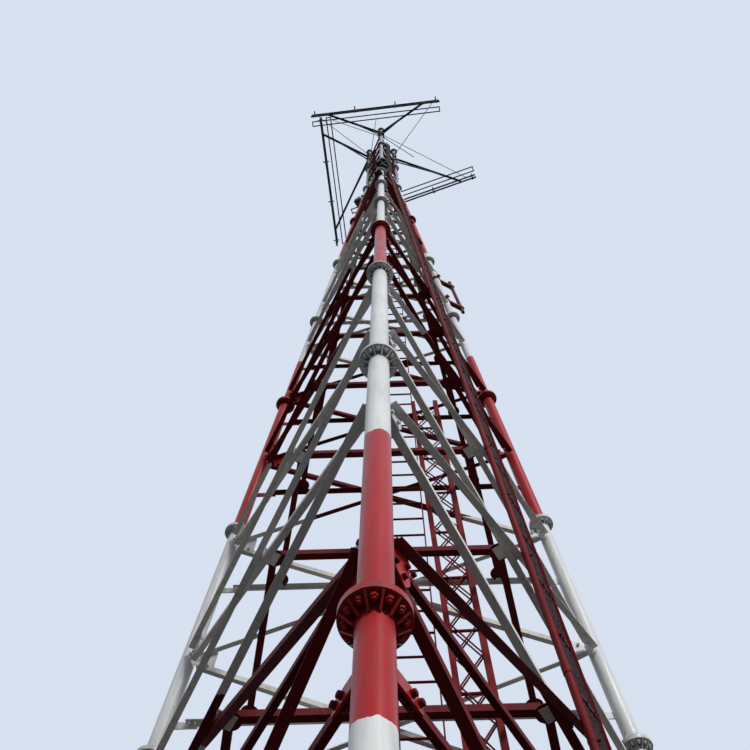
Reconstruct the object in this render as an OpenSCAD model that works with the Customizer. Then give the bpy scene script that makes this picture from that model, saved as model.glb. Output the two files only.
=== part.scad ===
// Radio mast: a three-legged lattice tower of tubes and angles, 30 m tall.
// The origin is the centre of the underside of the front leg's base plate.
// +Z is up, +Y points from the front leg to the back face, and +X to the right leg.

/* [Tower] */
// Radius of the circle through the three leg axes at the base
base_r = 2720; // [2400:10:2900]
// Radius of the same circle in the straight head
head_r = 435; // [420:5:520]
// Height of one leg section
section_h = 3000; // [2900:10:3100]
// Clearance between faces that are bolted together
seat = 0.3; // [0.2:0.1:0.5]

/* [Legs] */
// Outer diameter of the leg tubes in the four lowest sections
lower_tube_d = 133; // [120:1:146]
// Outer diameter of the leg tubes in the four upper tapered sections
upper_tube_d = 114; // [102:1:120]
// Outer diameter of the leg tubes in the head
head_tube_d = 89; // [80:1:95]
// Wall thickness of the leg tubes
tube_wall = 6; // [4:0.5:8]
// Width of the flange lip round a tube
flange_lip = 60; // [50:1:66]
// Thickness of one flange
flange_t = 18; // [14:1:24]
// Height of the ribs on a flange
rib_h = 55; // [40:1:60]
// Thickness of the ribs
rib_t = 8; // [6:1:10]
// Number of ribs on each flange
rib_count = 12; // [8:1:16]

/* [Base plates] */
// Side of a square base plate
base_plate_w = 440; // [400:5:480]
// Thickness of a base plate
base_plate_t = 30; // [24:1:36]
// Distance between the anchor holes along one side
anchor_pitch = 330; // [300:2:350]
// Diameter of the anchor holes
anchor_d = 30; // [24:1:36]
// Height of the ribs on a base plate
base_rib_h = 110; // [80:5:140]

/* [Bracing] */
// Leg width of the angle braces in the tapered part
brace_w = 50; // [45:1:60]
// Thickness of those angles
brace_t = 5; // [4:0.5:7]
// Leg width of the level tie angles
tie_w = 45; // [40:1:48]
// Thickness of those tie angles
tie_t = 5; // [4:0.5:6]
// Leg width of the angle braces in the head
head_brace_w = 45; // [40:1:50]
// Thickness of the head's angles
head_brace_t = 5; // [4:0.5:6]
// Thickness of the gusset plates on the legs
gusset_t = 10; // [8:1:12]
// Height of the lowest bracing node
base_node_h = 330; // [300:5:360]
// Height of the first node of the regular bracing
first_node_h = 3660; // [3600:10:3700]
// Height of one regular bracing panel
panel_h = 1706; // [1690:2:1710]
// Height of the last node below the head
last_node_h = 23600; // [23550:10:23650]
// Height of the tie bar under the first joint
low_tie_h = 2830; // [2780:10:2850]
// Height of the head's first bracing node above the tapered part
head_first_node = 500; // [450:10:550]
// Distance from the head's last bracing node up to its top
head_last_node = 1100; // [1000:10:1200]

/* [Plan bracing] */
// Leg width of the plan bracing angles
plan_w = 55; // [45:1:60]
// Thickness of the plan bracing angles
plan_t = 6; // [5:0.5:8]
// Number of levels that have plan bracing
plan_levels = 8; // [6:1:8]

/* [Ladders and cables] */
// Clear width between the stiles of the climbing ladder
ladder_w = 340; // [320:5:360]
// Depth of a ladder stile
stile_w = 60; // [50:1:65]
// Thickness of a ladder stile
stile_t = 10; // [8:1:12]
// Distance between the rungs
rung_pitch = 300; // [280:5:320]
// Diameter of a rung
rung_d = 24; // [20:1:26]
// Distance from the middle of the back face to the climbing ladder's foot
ladder_off = 300; // [280:5:320]
// Height of the joint between the ladder's two lower parts
ladder_split = 11880; // [11800:10:11950]
// Clear width between the stiles of the feeder ladder
feeder_w = 240; // [220:5:260]
// Distance from the middle of the back face to the feeder ladder's foot
feeder_off = 900; // [880:5:920]
// Height of the feeder ladder's top
feeder_h = 11800; // [11600:20:12000]
// Distance between the feeder ladder's rungs
feeder_pitch = 760; // [740:5:780]
// Distance from the middle of the right face to the cable tray's foot
tray_off = 280; // [260:5:300]
// Inner width of the cable tray
tray_w = 280; // [270:5:300]
// Depth of the cable tray's rails
tray_rail = 50; // [40:1:60]
// Distance between the tray's cross straps
tray_pitch = 600; // [550:10:650]
// Outer diameter of one feeder cable
cable_d = 28; // [24:1:30]
// Number of feeder cables
cable_count = 6; // [5:1:7]
// Outer diameter of the conduit beside the tray
conduit_d = 50; // [40:1:60]

/* [Sector frames] */
// Length of the two parallel bars that form a sector frame's beam
beam_l = 3900; // [3700:20:4000]
// Outer diameter of those bars
beam_d = 48; // [42:1:60]
// Height of the upper bar above the lower one
beam_gap = 380; // [340:5:400]
// Outer diameter of the two rails of the loop beside the beam
rail_d = 34; // [30:1:40]
// Distance from the beam to the nearer rail
rail_near = 170; // [150:5:180]
// Distance from the beam to the farther rail
rail_far = 300; // [280:5:310]
// Distance between the two arms where they meet the beam
arm_spread = 2940; // [2700:20:3000]
// Side of a square arm
arm_w = 60; // [50:1:70]
// Outer diameter of the strut under each arm
strut_d = 36; // [30:1:40]
// Height of an arm above the collar of its strut
strut_drop = 500; // [480:5:505]
// Diameter of the stubs on the outside of the beam
stub_d = 36; // [30:1:40]
// Length of those stubs
stub_l = 90; // [70:5:120]
// Distance from the mast's axis to the middle of the front beam
front_frame_out = 1171; // [1150:1:1190]
// Distance from the mast's axis to the middle of the left beam
left_frame_out = 1895; // [1870:1:1920]
// Distance from the mast's axis to the middle of the rear beam
rear_frame_out = 1692; // [1670:1:1710]
// Height of the front frame below the top of the head
front_frame_drop = 450; // [430:5:470]
// Height of the left frame below the top of the head
left_frame_drop = 900; // [885:5:910]
// Height of the rear frame below the top of the head
rear_frame_drop = 1300; // [1280:5:1320]
// Diameter of the tie rods
tie_d = 18; // [14:1:22]
// Height of a frame's collar on its leg
collar_h = 130; // [110:5:140]
// Wall of a collar
collar_wall = 16; // [12:1:18]

/* [Side mount] */
// Distance from the leg's axis to the side mount's pole
side_reach = 330; // [300:5:360]
// Diameter of that pole
side_pole_d = 60; // [50:1:70]
// Height of the lower arm on the leg
side_mount_h = 15800; // [15700:10:15900]
// Distance between its two arms
side_arm_gap = 1100; // [1000:10:1200]

/* [Hidden] */
$fn = 48;

taper_count = 8;
head_count = 2;
taper_h = section_h * taper_count;
head_h = section_h * head_count;
taper = (base_r - head_r) / taper_h;
lean = atan(taper);
face_lean = atan(taper / 2);
leg_tilt = atan(taper * sqrt(3) / 2);
front = 0;
left = -120;
right = 120;
left_face = -60;
right_face = 60;
back_face = 180;
fuse = 1;
spare = 50;
brace_gap = 15;
brace_lap = 150;
head_lap = 85;
tie_start = 112;
tab_reach = 280;
gusset_edge = 12;
free_angle = 8;
tie_drop = 0.35 * brace_w;
plan_lift = 95;
plan_inset = 96;
plan_crop = 36;
plan_plate_d = 150;
cleat_w = 110;
cleat_t = 8;
cleat_reach = 130;
panel_count = 9;
top_panel_count = 3;
tie_panels = 11;
ladder_end = 400;
ladder_gap = 120;
head_panels = 4;
red = "firebrick";
white = "gainsboro";
steel = "dimgray";

// Radius of the leg circle, half the width of a face and slope height at height h
function leg_r(h) = base_r - taper * min(h, taper_h);
function half_face(h) = leg_r(h) * sqrt(3) / 2;
function slope(h) = h / cos(face_lean);
function tube_d(n) = n < 4 ? lower_tube_d : n < taper_count ? upper_tube_d : head_tube_d;
function joint_d(j) = tube_d(max(j - 1, 0)) + 2 * flange_lip;

top_node_h = first_node_h + panel_count * panel_h;
top_panel_h = (last_node_h - top_node_h) / top_panel_count;
nodes = concat(
    [base_node_h],
    [for (k = [0 : panel_count]) first_node_h + k * panel_h],
    [for (k = [1 : top_panel_count]) top_node_h + k * top_panel_h]
);
head_panel_h = (head_h - head_first_node - head_last_node) / head_panels;
head_nodes = [for (k = [0 : head_panels]) taper_h + head_first_node + k * head_panel_h];
split_node = 6;

// Height of the ladder's tie bar in panel n of the back face
function back_tie_h(n) = cross_h(n) + plan_lift - tie_w / 2;
// Angle of the brace that leaves node a towards node b of the tapered part
function brace_angle(a, b) =
    atan((slope(nodes[b]) - slope(nodes[a])) / (half_face(nodes[a]) + half_face(nodes[b])));
// Distance from a leg's axis to the end of a brace, w wide, at an angle to the leg's normal
function brace_crop(d, angle, w) = (d / 2 + brace_gap + w / 2 * sin(angle)) / cos(angle);
// Diameter of the tube that carries node n
function node_tube(n) = tube_d(floor(nodes[n] / section_h));
// Height at which the two braces between nodes n and n + 1 cross
function cross_h(n) =
    nodes[n] + (nodes[n + 1] - nodes[n]) * half_face(nodes[n]) / (half_face(nodes[n]) + half_face(nodes[n + 1]));

module about_axis() { translate([0, base_r, 0]) children(); }

// Frame whose Z runs up a tapered leg
module leg_frame(turn) {
    about_axis() rotate([0, 0, turn]) translate([0, -base_r, 0]) rotate([-lean, 0, 0]) children();
}
// Frame whose Z runs up a leg of the head, from the top of the taper
module head_leg_frame(turn) {
    about_axis() rotate([0, 0, turn]) translate([0, -head_r, taper_h]) children();
}
// Frame of a face: X along it, Y up its slope, Z outwards
module face_frame(turn) {
    about_axis() rotate([0, 0, turn]) translate([0, -base_r / 2, 0]) rotate([90 - face_lean, 0, 0]) children();
}
module head_face_frame(turn) {
    about_axis() rotate([0, 0, turn]) translate([0, -head_r / 2, 0]) rotate([90, 0, 0]) children();
}

// Angle section along X, w wide and t thick, lying on the side of a plate that faces z = 1 or -1
module angle_bar(length, w, t, side, off, edge = -1) {
    mirror([0, 0, side > 0 ? 0 : 1])
        translate([0, 0, off])
            rotate([90, 0, 90])
                linear_extrude(length)
                    polygon(edge < 0
                        ? [[-w / 2, 0], [w / 2, 0], [w / 2, t], [-w / 2 + t, t], [-w / 2 + t, w], [-w / 2, w]]
                        : [[-w / 2, 0], [w / 2, 0], [w / 2, w], [w / 2 - t, w], [w / 2 - t, t], [-w / 2, t]]);
}
// Angle brace from point a to point b in a face, with both ends cropped
module brace(a, b, crop_a, crop_b, w, t, side) {
    d = b - a;
    length = norm(d);
    translate([a[0], a[1], 0])
        rotate([0, 0, atan2(d[1], d[0])])
            translate([crop_a, 0, 0])
                angle_bar(length - crop_a - crop_b, w, t, side, gusset_t / 2 + seat);
}

// Tube with a flange at each end, turned as one profile about Z
module flanged_tube(d, foot_d, top_d, length) {
    rotate_extrude()
        polygon([
            [d / 2 - tube_wall, 0], [foot_d / 2, 0], [foot_d / 2, flange_t], [d / 2, flange_t],
            [d / 2, length - flange_t], [top_d / 2, length - flange_t], [top_d / 2, length],
            [d / 2 - tube_wall, length]
        ]);
}
// Ribs that stand on a flange, up for dir = 1 and down for dir = -1
module ribs(count, inner_r, outer_r, height, thick, dir) {
    for (i = [0 : count - 1])
        rotate([0, 0, (i + 0.5) * 360 / count])
            mirror([0, 0, dir > 0 ? 0 : 1])
                rotate([90, 0, 0])
                    linear_extrude(thick, center = true)
                        polygon([
                            [inner_r - fuse, -fuse], [outer_r, -fuse], [outer_r, thick],
                            [inner_r + thick, height], [inner_r - fuse, height]
                        ]);
}
module flange_ribs(d, rim_d, dir) {
    ribs(rib_count, d / 2, rim_d / 2 - 6, rib_h, rib_t, dir);
}

// Gusset outline: X away from the leg's axis, one brace leaving at angle low and one at angle high
module gusset_plate(d, low, high, w, lap, tilt) {
    half = w / 2 + gusset_edge;
    low_reach = brace_crop(d, -low - tilt, w) + lap;
    high_reach = brace_crop(d, high + tilt, w) + lap;
    low_root = low < -free_angle ? half + gusset_edge : half;
    high_root = high > free_angle ? half + gusset_edge : half;
    function corner(reach, angle, side) =
        [reach * cos(angle) - side * half * sin(angle), reach * sin(angle) + side * half * cos(angle)];
    plate([
        on_tube(d, -low_root, tilt), corner(low_reach, low, -1), corner(low_reach, low, 1),
        corner(high_reach, high, -1), corner(high_reach, high, 1), on_tube(d, high_root, tilt)
    ]);
}
module tab_plate(d) {
    half = brace_w / 2 + 10;
    plate([on_tube(d, -half, leg_tilt), [tab_reach, -half], [tab_reach, half], on_tube(d, half, leg_tilt)]);
}
module plate(outline) {
    translate([0, 0, -gusset_t / 2]) linear_extrude(gusset_t) polygon(outline);
}
// Point just inside the wall of a tube that leans by tilt, at the level y of its node
function on_tube(d, y, tilt) = [d / 2 - fuse + y * tan(tilt), y];
// Places children at the foot of the tapered leg in the two faces that meet there
module both_faces(turn, h) {
    face_frame(turn + 60) translate([-half_face(h), slope(h), 0]) children();
    face_frame(turn - 60) translate([half_face(h), slope(h), 0]) mirror([1, 0, 0]) children();
}
module both_head_faces(turn, h) {
    head_face_frame(turn + 60) translate([-half_face(h), h, 0]) children();
    head_face_frame(turn - 60) translate([half_face(h), h, 0]) mirror([1, 0, 0]) children();
}
// Gusset of node n on a leg whose tube has diameter d
module node_gusset(turn, n, d) {
    up = n < len(nodes) - 1 ? brace_angle(n, n + 1) : free_angle;
    down = n > 0 ? -brace_angle(n - 1, n) : -free_angle;
    both_faces(turn, nodes[n]) gusset_plate(d, down, up, brace_w, brace_lap, leg_tilt);
}
// Tabs for the ladder's tie bars, on the back face only
module mid_tab(turn, n, d) {
    h = back_tie_h(n);
    if (turn != front)
        face_frame(back_face)
            translate([(turn == left ? 1 : -1) * half_face(h), slope(h), 0])
                mirror([turn == left ? 1 : 0, 0, 0])
                    tab_plate(d);
}
module low_tab(turn, d) {
    both_faces(turn, low_tie_h) tab_plate(d);
}

// Square plate with anchor holes and ribs under a leg
module base_plate(turn) {
    about_axis() rotate([0, 0, turn]) translate([0, -base_r, 0]) {
        difference() {
            translate([-base_plate_w / 2, -base_plate_w / 2, 0])
                cube([base_plate_w, base_plate_w, base_plate_t]);
            for (x = [-1, 1], y = [-1, 1])
                translate([x * anchor_pitch / 2, y * anchor_pitch / 2, -fuse])
                    cylinder(d = anchor_d, h = base_plate_t + 2 * fuse);
        }
        translate([0, 0, base_plate_t])
            ribs(8, lower_tube_d / 2 - tube_wall / 2, base_plate_w / 2 - 15, base_rib_h, rib_t + 4, 1);
    }
}
// Block that cuts everything above height h for dir = 1, or below it for dir = -1
module cut_block(h, dir) {
    about_axis() translate([-2 * base_r, -2 * base_r, dir > 0 ? h : h - section_h])
        cube([4 * base_r, 4 * base_r, section_h]);
}
// Tube of one tapered section, n counted from 0 at the ground
module leg_section(turn, n) {
    d = tube_d(n);
    first = n == 0;
    last = n == taper_count - 1;
    foot = section_h * n / cos(lean) + seat / 2;
    length = section_h / cos(lean) - seat;
    union() {
        if (first)
            difference() {
                leg_frame(turn) translate([0, 0, -spare])
                    flanged_tube(d, d, joint_d(1), length + spare);
                cut_block(base_plate_t / 2, -1);
            }
        else if (last)
            difference() {
                leg_frame(turn) translate([0, 0, foot]) flanged_tube(d, joint_d(n), d, length + spare);
                cut_block(taper_h - flange_t / 2, 1);
            }
        else
            leg_frame(turn) translate([0, 0, foot]) flanged_tube(d, joint_d(n), joint_d(n + 1), length);
        if (first) base_plate(turn);
        if (!first) leg_frame(turn) translate([0, 0, foot + flange_t]) flange_ribs(d, joint_d(n), 1);
        if (!last) leg_frame(turn) translate([0, 0, foot + length - flange_t]) flange_ribs(d, joint_d(n + 1), -1);
        if (last)
            head_leg_frame(turn) translate([0, 0, -flange_t - seat / 2]) {
                difference() {
                    cylinder(d = joint_d(taper_count), h = flange_t);
                    translate([0, 0, -fuse]) cylinder(d = d - 2 * tube_wall, h = flange_t + 2 * fuse);
                }
            }
        for (i = [0 : len(nodes) - 1])
            if (nodes[i] >= n * section_h && nodes[i] < (n + 1) * section_h) node_gusset(turn, i, d);
        for (i = [1 : tie_panels])
            if (cross_h(i) >= n * section_h && cross_h(i) < (n + 1) * section_h) mid_tab(turn, i, d);
        if (low_tie_h >= n * section_h && low_tie_h < (n + 1) * section_h) low_tab(turn, d);
    }
}
// The two straight sections of a leg in the head
module head_section(turn, n) {
    j = taper_count + n;
    foot = n * section_h + seat / 2;
    length = section_h - seat;
    foot_d = joint_d(j);
    top_d = joint_d(j + 1);
    head_leg_frame(turn) translate([0, 0, foot]) {
        flanged_tube(head_tube_d, foot_d, top_d, length);
        translate([0, 0, flange_t]) flange_ribs(head_tube_d, foot_d, 1);
        translate([0, 0, length - flange_t]) flange_ribs(head_tube_d, top_d, -1);
    }
    for (h = head_nodes)
        if (h >= taper_h + n * section_h && h < taper_h + (n + 1) * section_h) {
            rise = atan(head_panel_h / (2 * half_face(taper_h)));
            both_head_faces(turn, h)
                gusset_plate(head_tube_d, h > head_nodes[0] ? -rise : -free_angle,
                    h < head_nodes[head_panels] ? rise : free_angle, head_brace_w, head_lap, 0);
        }
}
// Two sections of a leg that are bolted flange to flange
module leg_pair(turn, pair) {
    color(pair % 2 == 0 ? red : white) {
        leg_section(turn, 2 * pair);
        leg_section(turn, 2 * pair + 1);
    }
}
module leg_head(turn) {
    color(steel) for (n = [0 : head_count - 1]) head_section(turn, n);
    color(steel) head_leg_frame(turn) translate([0, 0, head_h + seat])
        cylinder(d = head_tube_d + 2 * flange_lip, h = flange_t / 2);
}

// Two crossing braces of one panel, joined by the packing plate between them
module cross_panel(n, cleat) {
    h0 = nodes[n];
    h1 = nodes[n + 1];
    a = [-half_face(h0), slope(h0)];
    b = [half_face(h1), slope(h1)];
    c = [-half_face(h1), slope(h1)];
    d = [half_face(h0), slope(h0)];
    rise = brace_angle(n, n + 1);
    low_crop = brace_crop(node_tube(n), rise + leg_tilt, brace_w);
    high_crop = brace_crop(node_tube(n + 1), rise - leg_tilt, brace_w);
    brace(a, b, low_crop, high_crop, brace_w, brace_t, 1);
    brace(c, d, high_crop, low_crop, brace_w, brace_t, -1);
    pack_t = gusset_t + 2 * seat + 2 * fuse;
    translate([-cleat_w / 2, slope(cross_h(n)) - brace_w / 2, -pack_t / 2])
        cube([cleat_w, brace_w / 2 + (cleat ? plan_lift : brace_w / 2), pack_t]);
    if (cleat)
        translate([-cleat_w / 2, slope(cross_h(n) + plan_lift) - cleat_t, -cleat_reach])
            cube([cleat_w, cleat_t, cleat_reach]);
}
// Level angle bar across a face at height h, on the inner side of the plates
module tie_bar(h, d) {
    half = half_face(h);
    crop = d / 2 + tie_start;
    translate([-half + crop, slope(h), 0])
        angle_bar(2 * (half - crop), tie_w, tie_t, -1, gusset_t / 2 + 2 * seat, 1);
}
module base_bracing(turn) {
    color(steel) face_frame(turn) {
        union() {
            cross_panel(0, false);
            tie_bar(low_tie_h, lower_tube_d);
        }
        tie_bar(first_node_h - tie_drop, lower_tube_d);
    }
}
module face_panels(turn, low, high) {
    for (n = [low : high])
        face_frame(turn)
            union() {
                cross_panel(n, turn != back_face && n <= plan_levels);
                if (turn == back_face && n <= tie_panels) tie_bar(back_tie_h(n), node_tube(n));
            }
}
module face_lower(turn) {
    color(steel) face_panels(turn, 1, split_node);
}
module face_upper(turn) {
    color(steel) {
        face_panels(turn, split_node + 1, len(nodes) - 2);
        face_frame(turn) tie_bar(last_node_h, upper_tube_d);
    }
}
module face_head(turn) {
    half = half_face(taper_h);
    crop = brace_crop(head_tube_d, atan(head_panel_h / (2 * half)), head_brace_w);
    pack_t = gusset_t + 2 * seat + 2 * fuse;
    color(steel) head_face_frame(turn)
        for (k = [0 : head_panels - 1]) {
            h0 = head_nodes[k];
            h1 = head_nodes[k + 1];
            union() {
                brace([-half, h0], [half, h1], crop, crop, head_brace_w, head_brace_t, 1);
                brace([-half, h1], [half, h0], crop, crop, head_brace_w, head_brace_t, -1);
                translate([0, (h0 + h1) / 2, -pack_t / 2]) cylinder(d = head_brace_w, h = pack_t);
            }
        }
}

// Level angle from p to q on the plates under its ends, which lie at height h
module plan_bar(p, q, h) {
    d = q - p;
    translate([p[0], p[1], h])
        rotate([0, 0, atan2(d[1], d[0])])
            translate([plan_crop, 0, plan_t - fuse])
                rotate([90, 0, 90])
                    linear_extrude(norm(d) - 2 * plan_crop)
                        polygon([
                            [-plan_w / 2, 0], [plan_w / 2, 0], [plan_w / 2, plan_t],
                            [-plan_w / 2 + plan_t, plan_t], [-plan_w / 2 + plan_t, plan_w], [-plan_w / 2, plan_w]
                        ]);
}
// One level: a beam between the two front faces, and a bar from each to the back face
module plan_level(n) {
    h = cross_h(n) + plan_lift;
    apothem = leg_r(h) / 2 - plan_inset;
    rest = h - (plan_inset - plan_plate_d / 2) * sin(face_lean) + seat;
    rear = half_face(h) * 0.62;
    corners = [[-apothem * cos(30), -apothem * sin(30)], [apothem * cos(30), -apothem * sin(30)]];
    ends = [[-rear, apothem], [rear, apothem]];
    about_axis() union() {
        plan_bar(corners[0], corners[1], rest);
        plan_bar(ends[1], corners[1], rest);
        plan_bar(corners[0], ends[0], rest);
        for (p = concat(corners, ends)) translate([p[0], p[1], rest]) cylinder(d = plan_plate_d, h = plan_t);
    }
}
module plan_levels_between(low, high) {
    color(red) for (n = [low : high]) plan_level(n);
}

// Ladder in a face's frame, from the point foot towards the point top: flat stiles and round rungs
ladder_z = -(gusset_t / 2 + brace_w + 2 * seat) - stile_w;
module ladder(foot, top, y0, y1, width, pitch, rung) {
    run = top - foot;
    first = ceil(y0 / pitch) * pitch + 40;
    translate([foot[0], foot[1], 0]) rotate([0, 0, atan2(run[1], run[0]) - 90]) union() {
        for (side = [-1, 1])
            translate([side * (width + stile_t) / 2 - stile_t / 2, y0, ladder_z]) cube([stile_t, y1 - y0, stile_w]);
        for (y = [first : pitch : y1 - 60])
            translate([-width / 2 - fuse, y, ladder_z + stile_w / 2])
                rotate([0, 90, 0]) cylinder(d = rung, h = width + 2 * fuse, $fn = 8);
    }
}
ladder_foot = [-ladder_off, base_node_h - 10];
ladder_top = [-25, slope(taper_h) - ladder_end];
ladder_l = norm(ladder_top - ladder_foot);
module ladder_lower() {
    color(red) face_frame(back_face)
        ladder(ladder_foot, ladder_top, 0, ladder_split, ladder_w, rung_pitch, rung_d);
}
module ladder_upper() {
    color(red) face_frame(back_face)
        ladder(ladder_foot, ladder_top, ladder_split + seat, ladder_l, ladder_w, rung_pitch, rung_d);
}
module ladder_head() {
    color(red) head_face_frame(back_face)
        translate([0, taper_h, brace_w - head_brace_w])
            ladder([0, 0], [0, 1], ladder_gap, head_h - head_first_node, ladder_w, rung_pitch, rung_d);
}
// Feeder ladder, leaning with the tower beside the climbing ladder
feeder_foot = [-feeder_off, base_node_h + 70];
feeder_top = [-feeder_off * 5 / 9, feeder_h];
module feeder_ladder() {
    color(red) face_frame(back_face)
        ladder(feeder_foot, feeder_top, 0, norm(feeder_top - feeder_foot), feeder_w, feeder_pitch, rung_d + 6);
}

// Tray outside the right face, on the edges of the outer braces, leaning towards the front leg
tray_foot = [tray_off, base_node_h + 120];
tray_top = [-tray_off / 3, last_node_h - 800];
tray_z = gusset_t / 2 + brace_w + 2 * seat;
tray_l = norm(tray_top - tray_foot);
tray_rail_t = 6;
tray_strap_t = 5;
cable_past = 60;
cable_edge = 8;
module tray_frame() {
    run = tray_top - tray_foot;
    face_frame(right_face)
        translate([tray_foot[0], tray_foot[1], tray_z]) rotate([0, 0, atan2(run[1], run[0]) - 90]) children();
}
module cable_tray() {
    color(red) tray_frame() union() {
        for (side = [-1, 1])
            translate([side * (tray_w + tray_rail_t) / 2 - tray_rail_t / 2, 0, 0])
                cube([tray_rail_t, tray_l, tray_rail]);
        for (y = [150 : tray_pitch : tray_l - 60])
            translate([-tray_w / 2 - fuse, y, 0]) cube([tray_w + 2 * fuse, 40, tray_strap_t]);
    }
}
module feeder_cables() {
    pitch = (tray_w - cable_d - 2 * cable_edge) / (cable_count - 1);
    color("black") tray_frame()
        for (i = [0 : cable_count - 1])
            translate([-tray_w / 2 + cable_d / 2 + cable_edge + i * pitch, -cable_past, tray_strap_t + cable_d / 2 + seat])
                rotate([-90, 0, 0]) cylinder(d = cable_d, h = tray_l + 2 * cable_past, $fn = 24);
}
module conduit() {
    color(red) tray_frame()
        translate([-tray_w / 2 - tray_rail_t - conduit_d / 2 - seat, 0, conduit_d / 2])
            rotate([-90, 0, 0]) cylinder(d = conduit_d, h = tray_l);
}

// Square tube from p to q
module square_tube(p, q, w) {
    d = q - p;
    translate([p[0], p[1], 0]) rotate([0, 0, atan2(d[1], d[0])]) translate([0, -w / 2, -w / 2]) cube([norm(d), w, w]);
}
// Round rod from point p to point q
module rod(p, q, d) {
    v = q - p;
    length = norm(v);
    translate(p) rotate([0, acos(v[2] / length), atan2(v[1], v[0])]) rotate([0, 0, 90]) cylinder(d = d, h = length, $fn = 24);
}
// Plan position of a leg's axis in the head, from the tower's axis
function leg_xy(turn) = [head_r * sin(turn), -head_r * cos(turn)];
module collar(turn, h, height) {
    xy = leg_xy(turn);
    translate([xy[0], xy[1], h - height / 2]) difference() {
        cylinder(d = head_tube_d + 2 * (seat + collar_wall), h = height);
        translate([0, 0, -fuse]) cylinder(d = head_tube_d + 2 * seat, h = height + 2 * fuse);
    }
}
// Beam and loop round the point mid, turned by dir, on two strutted arms at height h from one leg
module sector_frame(turn, mid, dir, h, ties) {
    xy = leg_xy(turn);
    along = [cos(dir), sin(dir)];
    away = (xy - mid) * [-sin(dir), cos(dir)];
    grip = head_tube_d / 2 + seat + collar_wall / 2;
    color(steel) about_axis() union() {
        translate([mid[0], mid[1], h]) rotate([0, 0, dir]) {
            for (z = [-1, 1])
                translate([-beam_l / 2, 0, z * beam_gap / 2]) rotate([0, 90, 0]) cylinder(d = beam_d, h = beam_l, $fn = 24);
            for (off = [rail_near, rail_far])
                translate([-beam_l / 2, off, loop_z]) rotate([0, 90, 0]) cylinder(d = rail_d, h = beam_l, $fn = 24);
            for (x = [-1, 1]) {
                translate([x * (beam_l - rail_d) / 2, rail_near, loop_z])
                    rotate([-90, 0, 0]) cylinder(d = rail_d - 4, h = rail_far - rail_near, $fn = 24);
                translate([(x * arm_spread - arm_w) / 2, -beam_d / 4, -beam_gap / 2]) cube([arm_w, beam_d / 2, beam_gap]);
            }
            for (x = [-1.5, -0.5, 0.5, 1.5]) translate([x * stub_pitch, 0, 0]) {
                translate([0, 0, -beam_gap / 2 - beam_d]) cylinder(d = beam_d - 6, h = beam_gap + 2 * beam_d, $fn = 24);
                translate([0, 0, beam_gap / 2]) {
                    cube([clamp_w, clamp_d, clamp_w], center = true);
                    rotate([90, 0, 0]) cylinder(d = stub_d, h = clamp_d / 2 + stub_l, $fn = 24);
                    rotate([-90, 0, 0]) cylinder(d = stub_d - 8, h = clamp_d / 2 + stub_l / 2, $fn = 24);
                }
            }
        }
        for (side = [-1, 1]) {
            end = mid + side * arm_spread / 2 * along;
            v = end - xy;
            start = xy + v / norm(v) * grip;
            knee = xy + v * (1 - (rail_far + knee_gap) / away);
            translate([0, 0, h]) square_tube(start, end, arm_w);
            foot = start + v / norm(v) * lug_l / 2;
            translate([0, 0, h - strut_drop]) square_tube(start, start + v / norm(v) * lug_l, lug_w);
            rod([foot[0], foot[1], h - strut_drop], [knee[0], knee[1], h], strut_d);
        }
        for (t = ties) {
            from = t[0];
            to = t[1];
            v = [to[0], to[1]] - leg_xy(from);
            start = leg_xy(from) + v / norm(v) * grip;
            rod([start[0], start[1], t[2]], to, tie_d);
            collar(from, t[2], tie_collar_h);
        }
        collar(turn, h, collar_h);
        collar(turn, h - strut_drop, strut_collar_h);
    }
}
loop_z = -(arm_w + rail_d) / 2 + 3 * fuse;
stub_pitch = (beam_l - 200) / 3;
knee_gap = 60;
lug_l = 56;
lug_w = 50;
clamp_w = beam_d + 12;
clamp_d = beam_d + 8;
strut_collar_h = 80;
tie_collar_h = 60;
front_turn = -4.7;
left_turn = -94.6;
rear_turn = 162.4;
front_mid = front_frame_out * [sin(-7.85), -cos(-7.85)];
left_mid = left_frame_out * [sin(-120.1), -cos(-120.1)];
rear_mid = rear_frame_out * [sin(145.8), -cos(145.8)];
front_frame_h = taper_h + head_h - front_frame_drop;
left_frame_h = taper_h + head_h - left_frame_drop;
rear_frame_h = taper_h + head_h - rear_frame_drop;
// Point of a frame, x along its beam and in towards the mast
function on_frame(mid, dir, x, in, h) =
    [mid[0] + x * cos(dir) - in * sin(dir), mid[1] + x * sin(dir) + in * cos(dir), h];
module front_sector_frame() {
    sector_frame(front, front_mid, front_turn, front_frame_h, [
        [right, on_frame(front_mid, front_turn, 0.46 * beam_l, 0, front_frame_h + beam_gap / 2), front_frame_h - 250],
        [left, on_frame(front_mid, front_turn, -0.465 * beam_l, 0, front_frame_h + beam_gap / 2), front_frame_h - 50],
        [left, on_frame(front_mid, front_turn, 0, rail_far, front_frame_h + loop_z), front_frame_h - 2050]
    ]);
}
module left_sector_frame() {
    sector_frame(left, left_mid, left_turn, left_frame_h, [
        [front, on_frame(left_mid, left_turn, 0.48 * beam_l, rail_far, left_frame_h + loop_z), left_frame_h - 400]
    ]);
}
module rear_sector_frame() {
    sector_frame(right, rear_mid, rear_turn, rear_frame_h, [
        [front, on_frame(rear_mid, rear_turn, -0.43 * beam_l, 0, rear_frame_h + beam_gap / 2), rear_frame_h + 550]
    ]);
}

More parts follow.
